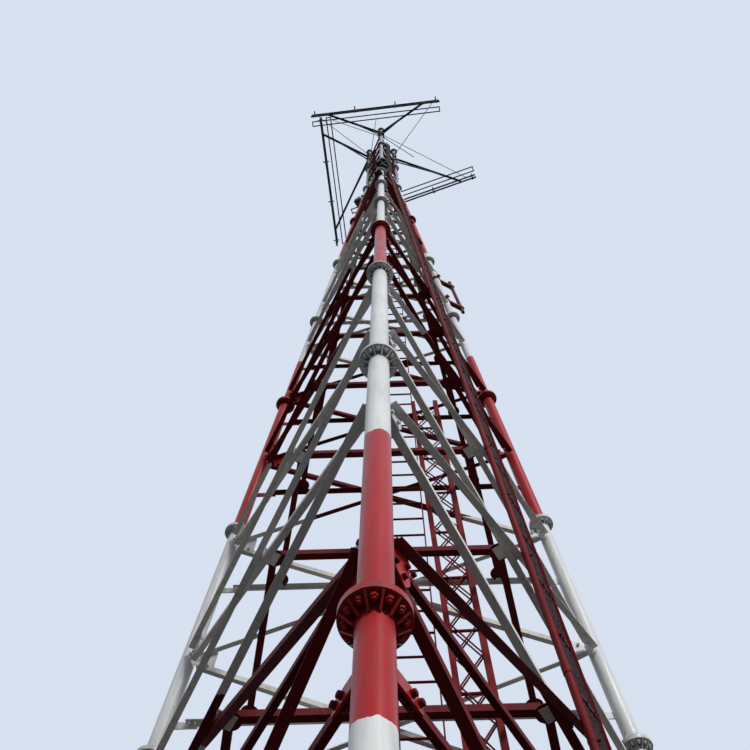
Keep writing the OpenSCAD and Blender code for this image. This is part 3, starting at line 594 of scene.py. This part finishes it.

# Plan bracing: level angles tie the three faces together at eight levels. They lie on small
# plates, with two bolts down through each plate and its cleat.
# Both plan colours are painted shade: a red as dark as the braces' painted-shade red, and a mid grey that stands for
# white paint seen in shade from below.
plan_shade_red, plan_shade_white = (0.13, 0.009, 0.012, 1), (0.36, 0.35, 0.33, 1)
plan_low = weathered_paint("plan_low_paint", all_over(plan_shade_red), 0.6, 0.5, 0.8)
plan_levels = [(0, shade_white), (9.3, plan_shade_red), (13.4, plan_shade_white)]
plan_high = weathered_paint("plan_high_paint", plan_levels, 0.45, 0.5, 0.8)
dress("plan_bracing_lower", plan_low)
dress("plan_bracing_upper", plan_high)
plan_inset, plan_plate_d, back_share = 0.096, 0.15, 0.62
plan_bolt, plan_grip, plan_bolt_x, plan_bolt_y, plan_bolt_drop = 0.019, 0.015, 0.034, 0.048, 0.001
for name, levels, paint in (("lower", (1, 2, 3, 4), plan_low), ("upper", (5, 6, 7, 8), plan_high)):
    spots = []
    for n in levels:
        h = cross_h(n) + plan_lift
        apothem = (base_r - taper * h) / 2 - plan_inset
        rest = h - (plan_inset - plan_plate_d / 2) * math.sin(face_lean) + flange_gap
        back_x = back_share * half_face(h)
        for face, across in (("left", (0,)), ("right", (0,)), ("back", (-back_x, back_x))):
            spots += [mast_axis @ turned(face_turns[face])
                      @ moved(x + side * plan_bolt_x, -apothem - plan_bolt_y, rest - plan_bolt_drop)
                      for x in across for side in (-1, 1)]
    bolts = repeated(hex_bolt(plan_bolt, plan_grip, bolt_tail, 0.002, 8), spots, f"plan_bolts_{name}")
    hang(bolts, paint)

# Climbing ladder: flat steel stiles with round rungs welded in, inside the back face, in three
# lengths. Bent steel clips bolt its stiles to the face's tie bars. It is all painted red.
ladder_levels = [(0, (0.18, 0.006, 0.01, 1)), (15, (0.16, 0.006, 0.01, 1))]
ladder_red = weathered_paint("ladder_red", ladder_levels, 0.55, 0.3, 0.9)
for node in ("ladder_lower", "ladder_upper", "ladder_head"):
    dress(node, ladder_red)
ladder_foot, ladder_top = Vector((-0.3, 0.32)), Vector((-0.025, slope(head_foot_h) - 0.4))
ladder_half, ladder_clip_z = 0.18, -0.054
clip_w, clip_reach, clip_rise, clip_t = 0.045, 0.05, 0.06, 0.006
small_nut, small_nut_t = 0.019, 0.011


def run_place(face, foot, top, z=0.0):
    """Foot of a straight run that leans in a face, with Y along the run and Z outwards."""
    run = top - foot
    tilt = Matrix.Rotation(math.atan2(run.y, run.x) - math.pi / 2, 4, "Z")
    return face_place(face) @ moved(foot.x, foot.y, z) @ tilt


def block(centre, size):
    begin()
    bpy.ops.mesh.primitive_cube_add(size=1, location=centre, scale=size)
    bpy.ops.object.transform_apply(location=True, rotation=True, scale=True)
    return bpy.context.object


def soften_edges(piece, width, segments):
    bpy.ops.object.mode_set(mode="OBJECT")
    bevel = piece.modifiers.new("edge", "BEVEL")
    bevel.width, bevel.segments, bevel.limit_method = width, segments, "ANGLE"
    bpy.ops.object.modifier_apply(modifier="edge")


# A bent clip is an angle of strip: a foot that lies flat and a tab that stands up at its inner edge.
clip = block((clip_reach / 2, clip_t / 2, 0), (clip_reach, clip_t, clip_w))
bpy.ops.object.mode_set(mode="EDIT")
bpy.ops.mesh.select_all(action="SELECT")
bpy.ops.mesh.bisect(plane_co=(clip_t, 0, 0), plane_no=(1, 0, 0))
pick_faces(clip, lambda face: face.normal.y > 0.9 and face.center.x < clip_t)
bpy.ops.mesh.extrude_region_move(TRANSFORM_OT_translate={"value": (0, clip_rise, 0)})
soften_edges(clip, 0.0012, 1)
nut = placed(hexagon(small_nut, small_nut_t, 0), moved(0.03, 0.012, 0) @ turned(-90, "X"))
side_nut = placed(hexagon(small_nut, small_nut_t, 0), moved(0.0115, 0.042, 0) @ turned(90, "Y"))
ladder_place = run_place("back", ladder_foot, ladder_top)
spots = []
for n in back_tie_nodes:
    y = slope(cross_h(n) + plan_lift - tie_w / 2) + tie_w / 2 - ladder_foot.y
    spots += [ladder_place @ moved(ladder_half, y, ladder_clip_z),
              ladder_place @ moved(-ladder_half, y, ladder_clip_z) @ turned(180, "Y")]
hang(repeated(join_parts([clip, nut, side_nut], "clip"), spots, "ladder_clips"), ladder_red)

# Feeder ladder: a narrower ladder beside it with few heavy rungs. Thin round lacing bars cross
# between its stiles on both sides, welded to them, to hold the smaller cables.
dress("feeder_ladder", ladder_red)
feeder_foot, feeder_top, feeder_half = Vector((-0.9, 0.4)), Vector((-0.5, 11.8)), 0.121
bay, bay_count, bay_foot, lacing_r, lacing_zs, lacing_skew = 0.38, 29, 0.1, 0.008, (-0.062, -0.109), 0.004
strip_w, strip_run, strip_t, strip_x, strip_z = 0.055, 11.38, 0.005, 0.027, -0.1175


def bevelled_plate(centre, size, wanted, offset, segments=1):
    """Flat bar whose wanted faces have their edges taken off."""
    piece = block(centre, size)
    pick_faces(piece, wanted)
    bpy.ops.mesh.bevel(offset=offset, segments=segments)
    bpy.ops.object.mode_set(mode="OBJECT")
    return piece


bars = []
for z in lacing_zs:
    for k in range(bay_count):
        y = bay_foot + bay * k
        bars += [rod((-side * feeder_half, y, z), (side * feeder_half, y + bay, z - lacing_skew * side), lacing_r, 6,
                     cap=False) for side in (-1, 1)]
for side in (-1, 1):
    bars.append(bevelled_plate((side * (feeder_half + strip_x), 5.7, strip_z), (strip_w, strip_run, strip_t),
                               lambda face: abs(face.normal.x) > 0.9 or abs(face.normal.y) > 0.9, 0.0012))
lacing = placed(join_parts(bars, "feeder_lacing"), run_place("back", feeder_foot, feeder_top))
hang(lacing, ladder_red)

# Cable tray: a folded steel channel outside the right face that carries six feeder cables.
# Flat clamp bars with bolts hold the cables down on its straps, and ties go round each cable.
tray_levels = [(0, (0.15, 0.004, 0.009, 1)), (15, (0.13, 0.004, 0.008, 1))]
tray_red = weathered_paint("tray_red", tray_levels, 0.55, 0.25, 0.8)
dress("cable_tray", tray_red)
tray_foot, tray_top = Vector((0.28, 0.45)), Vector((-0.28 / 3, 22.8))
tray_place = run_place("right", tray_foot, tray_top, 0.0556)
tray_run = (tray_top - tray_foot).length
cable_pitch, cable_r, cable_z = 0.0472, 0.014, 0.0193
cable_xs = [(k - 2.5) * cable_pitch for k in range(6)]
cable_top = cable_z + cable_r
clamp_foot, clamp_pitch, clamp_count, clamp_size = 0.17, 0.6, 37, (0.278, 0.03, 0.005)
cable_tie_foot, cable_tie_pitch, cable_tie_count, tie_scatter = 0.32, 0.3, 73, 0.021
parts = [bevelled_plate((0, 0, cable_top + 0.003), clamp_size, lambda face: face.normal.z > 0.9, 0.0015)]
for x in (-2 * cable_pitch, 0, 2 * cable_pitch):
    parts.append(placed(hexagon(0.013, 0.008, cable_top + 0.009), moved(x, 0, 0)))
    parts.append(rod((x, 0, 0.001), (x, 0, cable_top + 0.002), 0.004, 6, cap=False))
spots = [tray_place @ moved(0, clamp_foot + clamp_pitch * k, 0) for k in range(clamp_count)]
hang(repeated(join_parts(parts, "clamp"), spots, "cable_clamps"), tray_red)
cable_tie = settle(hoop((0, 0, 0), cable_r + 0.0008, 0.0028, 10, 4, "Y"), "cable_tie")
spots = []
for c, x in enumerate(cable_xs):
    for k in range(cable_tie_count):
        y = cable_tie_foot + cable_tie_pitch * k + tie_scatter * ((c * 5 + k * 3) % 7)
        spots.append(tray_place @ moved(x, y, cable_z) @ turned(50 * c, "Y"))
hang(repeated(cable_tie, spots, "cable_ties"), tray_red)

# Conduit: a painted steel tube beside the tray, in 3 m lengths with screwed couplings.
# Band clips hold it to the tray's rail.
dress("conduit", tray_red)
conduit_x, conduit_z = -0.1713, 0.025
coupling_foot, coupling_l, coupling_r = 1.45, 0.09, 0.0292
band_foot, band_pitch, band_w, band_r = 0.3, 0.9, 0.025, 0.0268


def sleeve(y, length, radius, end):
    """Short collar round the conduit."""
    return rod((conduit_x, y, conduit_z), (conduit_x, y + length, conduit_z), radius, 20, end)


parts = [sleeve(coupling_foot + section_h * k, coupling_l, coupling_r, 0.12) for k in range(8)]
for k in range(25):
    y = band_foot + band_pitch * k
    parts += [sleeve(y, band_w, band_r, 0.06),
              placed(hexagon(0.016, 0.03, 0), moved(conduit_x + 0.012, y + band_w / 2, 0.056))]
hang(placed(join_parts(parts, "conduit_fixings"), tray_place), tray_red)

# Feeder cables: six ribbed copper cables in black jackets. Above the tray they go on up the
# outside of the head, clipped to flat bars, and end in capped connectors near the frames.
jacket_black, jacket_dusty, jacket_specular = (0.011, 0.01, 0.012, 1), (0.032, 0.021, 0.021, 1), 0.08
jacket = Finish("cable_jacket")
grain = jacket.noise(1.0, 4.0, 0.6, jacket.stretched((120.0, 120.0, 8.0)))
dust = jacket.spread(jacket.noise(1.9, 4.0, 0.6), 0.35, 0.7, 0.1, 0.75)
jacket_colour = jacket.mix(dust, jacket_black, jacket_dusty)
cable_black = jacket.done(jacket_colour, jacket.spread(grain, 0.3, 0.7, 0.55, 0.8), grain, jacket_specular)
dress("feeder_cables", cable_black)
rack_x, rack_z, rack_pitch, up = -0.11, 0.0703, 0.04, Vector((0, 0, 1))
rack_hs, top_h, top_step = (23.75, 24.2, 25.0, 26.0, 27.0, 27.8), 28.15, 0.11
connector_steps = ((-0.02, 0.035, 0.0175), (0.035, 0.06, 0.0125), (0.06, 0.072, 0.016))
rack_bar, rack_bar_z, rack_foot, rack_step, rack_count = (0.6, 0.035, 0.005), 0.0528, 24.66, 0.55, 7
rack_xs = [rack_x + (k - 2.5) * rack_pitch for k in range(6)]
on_head = head_face_place("right")
cables, ends = [], []
for k, (x, head_x) in enumerate(zip(cable_xs, rack_xs)):
    end_h = top_h + top_step * k
    points = [tray_place @ Vector((x, tray_run + 0.02, cable_z)),
              tray_place @ Vector((x, tray_run + 0.25, cable_z + 0.002))]
    for h in (*rack_hs, end_h):
        bend = 0.0 if h > head_foot_h else 0.004 * (k - 2.5)
        points.append(on_head @ Vector((head_x + bend, h, rack_z)))
    path = bpy.data.curves.new("head_cable", "CURVE")
    path.dimensions = "3D"
    path.bevel_depth, path.bevel_resolution, path.use_fill_caps, path.resolution_u = cable_r, 3, True, 6
    line = path.splines.new("NURBS")
    line.points.add(len(points) - 1)
    for knot, point in zip(line.points, points):
        knot.co = (*point, 1)
    line.order_u, line.use_endpoint_u = 3, True
    cable = bpy.data.objects.new("head_cable", path)
    bpy.context.scene.collection.objects.link(cable)
    begin()
    cable.select_set(True)
    bpy.context.view_layer.objects.active = cable
    bpy.ops.object.convert(target="MESH")
    cables.append(bpy.context.object)
    tip = on_head @ Vector((head_x, end_h, rack_z))
    ends += [rod(tip + up * low, tip + up * high, radius, 16, 0.15)
             for low, high, radius in connector_steps]
hang(join_parts(cables, "head_cables"), cable_black)
hang(join_parts(ends, "cable_connectors"), bolt_zinc)
bars = []
for h in [rack_foot + rack_step * k for k in range(rack_count)]:
    bars.append(bevelled_plate((0, h, rack_bar_z), rack_bar, lambda face: abs(face.normal.x) > 0.9, 0.002))
    bars += [hoop((x, h, rack_z), cable_r + 0.0015, 0.0025, 16, 6, "Y") for x in rack_xs]
hang(placed(join_parts(bars, "head_cable_clips"), on_head), head_red)

# Sector frames: three galvanized tube frames for aerials, each a double bar with posts and a loop,
# held off one leg by two strutted arms. Collars clamp them to the legs, and the ends are capped.
# The frames' zinc is near-black: painted shade for galvanized tubes seen dark against the sky. The rod aerial and the
# side rod take it too.
frame_zinc_painted_shade = galvanized("frame_zinc_painted_shade", (0.06, 0.06, 0.065, 1), (0.035, 0.035, 0.038, 1), 0.5, 0.15, 0.3)
head_top = 30.0
# Leg, distance from the mast's axis, bearing, direction of the bar, and drop below the head's top.
frame_facts = {"front": ("front", 1.171, -7.85, -4.7, 0.45), "left": ("left", 1.895, -120.1, -94.6, 0.9),
               "rear": ("right", 1.692, 145.8, 162.4, 1.3)}
# Legs that a tie is clamped to, and how far each collar is above its frame.
tie_collars = {"front": (("right", -0.25), ("left", -0.05), ("left", -2.05)), "left": (("front", -0.4),),
               "rear": (("front", 0.55),)}
bar_half, bar_up, post_xs, plate_x = 1.95, 0.19, (-1.85, -0.6167, 0.6167, 1.85), 1.47
bar_cap_r, post_cap_r, cap_l, post_cap_z = 0.0262, 0.0232, 0.03, 0.0485
u_bolt_r, u_bolt_wire, u_bolt_x, u_nut_y, u_nut_z = 0.0275, 0.0048, 0.031, -0.031, 0.019
rail_ys, rail_z, rail_slant = (0.17, 0.3), -0.044, 0.27
rail_loop_r, rail_loop_wire, rail_loop_x = 0.0205, 0.0042, 0.02
parts = []
for way in (1, -1):
    for z in (-bar_up, bar_up):
        parts.append(rod((way * (bar_half - 0.0004), 0, z), (way * (bar_half - cap_l), 0, z), bar_cap_r, 20, 0.12))
for x in post_xs:
    for off in (-u_bolt_x, u_bolt_x):
        parts.append(hoop((x + off, 0, -bar_up), u_bolt_r, u_bolt_wire, 20, 6, "X"))
        parts += [placed(hexagon(0.017, 0.013, 0), moved(x + off, u_nut_y, z - bar_up) @ turned(90, "X"))
                  for z in (-u_nut_z, u_nut_z)]
    for z in (-bar_up - post_cap_z, bar_up + post_cap_z):
        parts.append(rod((x, 0, z - 0.01), (x, 0, z - 0.0003 if z > 0 else z + 0.01), post_cap_r, 16, 0.15))
for x in (-plate_x, plate_x):
    parts += [placed(hex_bolt(brace_bolt, 0.024, 0.008, 0.003, 8), moved(x, 0, z) @ turned(90, "X"))
              for z in (-0.14, -0.07, 0.07, 0.14)]
    parts += [hoop((x * (1 - y * rail_slant) + off, y, rail_z), rail_loop_r, rail_loop_wire, 18, 6, "X")
              for y in rail_ys for off in (-rail_loop_x, rail_loop_x)]
frame_pattern = join_parts(parts, "frame_fittings")
collar_wall_r, ear_reach, ear_t, ear_gap, ear_bolt = 0.0608, 0.04, 0.01, 0.0105, 0.019


def collar_ears(height):
    """Two pairs of ears with bolts across them, on opposite sides of a split collar."""
    parts = []
    for side in (0, 180):
        for y in (-ear_gap, ear_gap):
            ear = bevelled_plate((collar_wall_r + 0.016, y, 0), (ear_reach, ear_t, height - 0.01),
                                 lambda face: face.normal.x > 0.9, 0.003, 2)
            parts.append(placed(ear, turned(side)))
        for z in ((-height / 4, height / 4) if height > 0.07 else (0,)):
            across = turned(side) @ moved(collar_wall_r + ear_reach / 2, 0, z) @ turned(90, "X")
            parts.append(placed(hex_bolt(ear_bolt, 0.031, 0.008, 0.002, 8), across))
    return join_parts(parts, "collar_ears")


for name, (leg, out, bearing, direction, drop) in frame_facts.items():
    dress(f"{name}_sector_frame", frame_zinc_painted_shade)
    way, h = math.radians(bearing), head_top - drop
    middle = mast_axis @ moved(out * math.sin(way), -out * math.cos(way), h) @ turned(direction)
    group = [copied(frame_pattern, middle), placed(collar_ears(0.13), head_place(leg, h)),
             placed(collar_ears(0.08), head_place(leg, h - 0.5))]
    group += [placed(collar_ears(0.06), head_place(other, h + lift)) for other, lift in tie_collars[name]]
    hang(join_parts(group, f"{name}_frame_fittings"), frame_zinc_painted_shade)
bpy.data.objects.remove(frame_pattern)

# Side mount: two box arms clamped round the right leg carry a short pole. Its pole clamps are
# steel, and a rod aerial stands beside it on a ring of its own.
mount_red = weathered_paint("mount_red", all_over((0.16, 0.03, 0.035, 1)), 0.45, 0.5, 0.8)
dress("side_mount", mount_red)
mount_place = leg_place("right", 15.8 / math.cos(lean))
pole_y, pole_r, pole_top, arm_zs = -0.33, 0.03, 1.395, (0.045, 1.145)
aerial_y, aerial_ring_z = -0.13, 1.5


def leg_collar_ears(height, z):
    """Collar ears set further apart, for the thicker tube of a tapered leg."""
    ears = collar_ears(height)
    for vertex in ears.data.vertices:
        vertex.co.x += math.copysign(mid_tube_r - head_tube_r, vertex.co.x)
    return placed(ears, moved(0, 0, z))


parts = [rod((0, pole_y, z - 0.012), (0, pole_y, z + 0.012), pole_r + 0.009, 24, 0.12) for z in (0.0, 0.1, 1.09, 1.2)]
parts.append(rod((0, pole_y, pole_top), (0, pole_y, pole_top + 0.017), pole_r + 0.002, 24, 0.2))
for z in arm_zs:
    parts.append(leg_collar_ears(0.08, z))
    parts += [placed(hexagon(small_nut, small_nut_t, 0), moved(side * 0.0385, y, z) @ turned(side * 90, "Y"))
              for side in (-1, 1) for y in (-0.3, -0.345)]
hang(placed(join_parts(parts, "side_mount_fittings"), mount_place), mount_red)
parts = [hoop((0, 0, aerial_ring_z), 0.0615, 0.006, 36, 6),
         rod((0, -0.02, aerial_ring_z), (0.06, -0.09, aerial_ring_z), 0.014, 10),
         rod((0.05, -0.075, aerial_ring_z), (0.05, aerial_y, 1.62), 0.009, 10),
         rod((0.05, aerial_y, 1.56), (0.05, aerial_y, 1.66), 0.016, 16, 0.3),
         rod((0.05, aerial_y, 1.6), (0.05, aerial_y, 2.35), 0.0055, 8)]
# The rod aerial takes the near-black painted-shade zinc.
hang(placed(join_parts(parts, "rod_aerial"), mount_place), frame_zinc_painted_shade)

# Junction box: a folded sheet-steel box clamped to the left leg under the head, with a lipped door,
# two hinges, a quarter-turn latch and three cable glands in its floor.
box_grey = weathered_paint("box_grey", all_over((0.13, 0.135, 0.14, 1)), 0.45, 0.4, 0.4)
dress("leg_box", box_grey)
door_y, door_z, door_size, lip = -0.2305, 0.05, (0.17, 0.007, 0.208), 0.012
door = block((0, door_y, door_z), door_size)
pick_faces(door, lambda face: face.normal.y < -0.9)
bpy.ops.mesh.inset(thickness=lip)
bpy.ops.mesh.extrude_region_move(TRANSFORM_OT_translate={"value": (0, 0.002, 0)})
parts = [settle(door, "door"), leg_collar_ears(0.06, 0.035),
         rod((0.062, -0.232, door_z), (0.062, -0.245, door_z), 0.011, 16)]
for z in (door_z - 0.06, door_z + 0.06):
    parts.append(rod((-0.09, -0.231, z - 0.02), (-0.09, -0.231, z + 0.02), 0.006, 12))
for x in (-0.05, 0.0, 0.05):
    parts += [placed(hexagon(0.03, 0.014, -0.067, -1), moved(x, -0.152, 0)),
              rod((x, -0.152, -0.07), (x, -0.152, -0.096), 0.011, 14, 0.3)]
box_place = leg_place("left", (head_foot_h - 0.95) / math.cos(lean))
hang(placed(join_parts(parts, "leg_box_fittings"), box_place), box_grey)

# Small boxes on the upper front leg: dark clamp bands hold five little cast boxes for the earth
# and lamp wiring, each with a cable entry below and a lug on its side.
dark_levels = [(0, (0.035, 0.036, 0.04, 1)), (30.5, (0.03, 0.031, 0.035, 1))]
box_dark = weathered_paint("box_dark", dark_levels, 0.5, 0.4, 0.4)
case_y, case_size, case_lip, clamp_z = -0.112, (0.15, 0.1, 0.22), 0.008, 0.05
group = []
for h, side in ((19.75, -34), (21.35, 28), (22.4, -25), (22.85, 70), (23.3, 20)):
    case = block((0, case_y, 0), case_size)
    pick_faces(case, lambda face: face.normal.y < -0.9)
    bpy.ops.mesh.inset(thickness=case_lip)
    bpy.ops.mesh.extrude_region_move(TRANSFORM_OT_translate={"value": (0, -case_lip, 0)})
    soften_edges(case, 0.003, 2)
    parts = [placed(weld_ring(mid_tube_r + 0.001, 0.006), moved(0, 0, z)) for z in (clamp_z, -clamp_z)]
    parts += [case, rod((0, -0.11, -0.1), (0, -0.11, -0.15), 0.014),
              rod((0.05, -0.05, clamp_z), (0.09, -0.05, clamp_z), 0.012, 10)]
    group.append(placed(join_parts(parts, "small_box"), leg_place("front", h / math.cos(lean)) @ turned(side)))
hang(join_parts(group, "front_leg_boxes"), box_dark)

# Step bolts: short round pegs with a thicker end, screwed into clamp rings up the straight head
# of the right leg, turned to one side and the other by turns.
peg_from, peg_to, peg_r, knob_r = -0.05, -0.135, 0.008, 0.013
step_foot, step, step_count, step_turns = 24.45, 0.3, 16, (-145, -95)
parts = [rod((0, peg_from, 0), (0, peg_to, 0), peg_r, 8), rod((0, -0.128, 0), (0, -0.142, 0), knob_r, 10),
         weld_ring(head_tube_r, 0.005, 24)]
spots = [head_place("right", step_foot + step * k) @ turned(step_turns[k % 2]) for k in range(step_count)]
hang(repeated(join_parts(parts, "step_bolt"), spots, "right_leg_steps"), bolt_zinc)

# Side rod: one slim galvanized rod that stands out level from the front leg's head, screwed
# into a socket on a ring clamp.
rod_h, rod_r, socket_r = 28.9, 0.011, 0.02
parts = [rod((0.045, 0.03, rod_h), (0.97, 0.66, rod_h), rod_r, 10),
         rod((0.04, 0.027, rod_h), (0.11, 0.074, rod_h), socket_r),
         placed(weld_ring(head_tube_r + 0.0015, 0.007), moved(0, 0, rod_h))]
# The side rod takes the near-black painted-shade zinc.
hang(placed(join_parts(parts, "side_rod"), mast_axis @ moved(0, -head_r, 0)), frame_zinc_painted_shade)
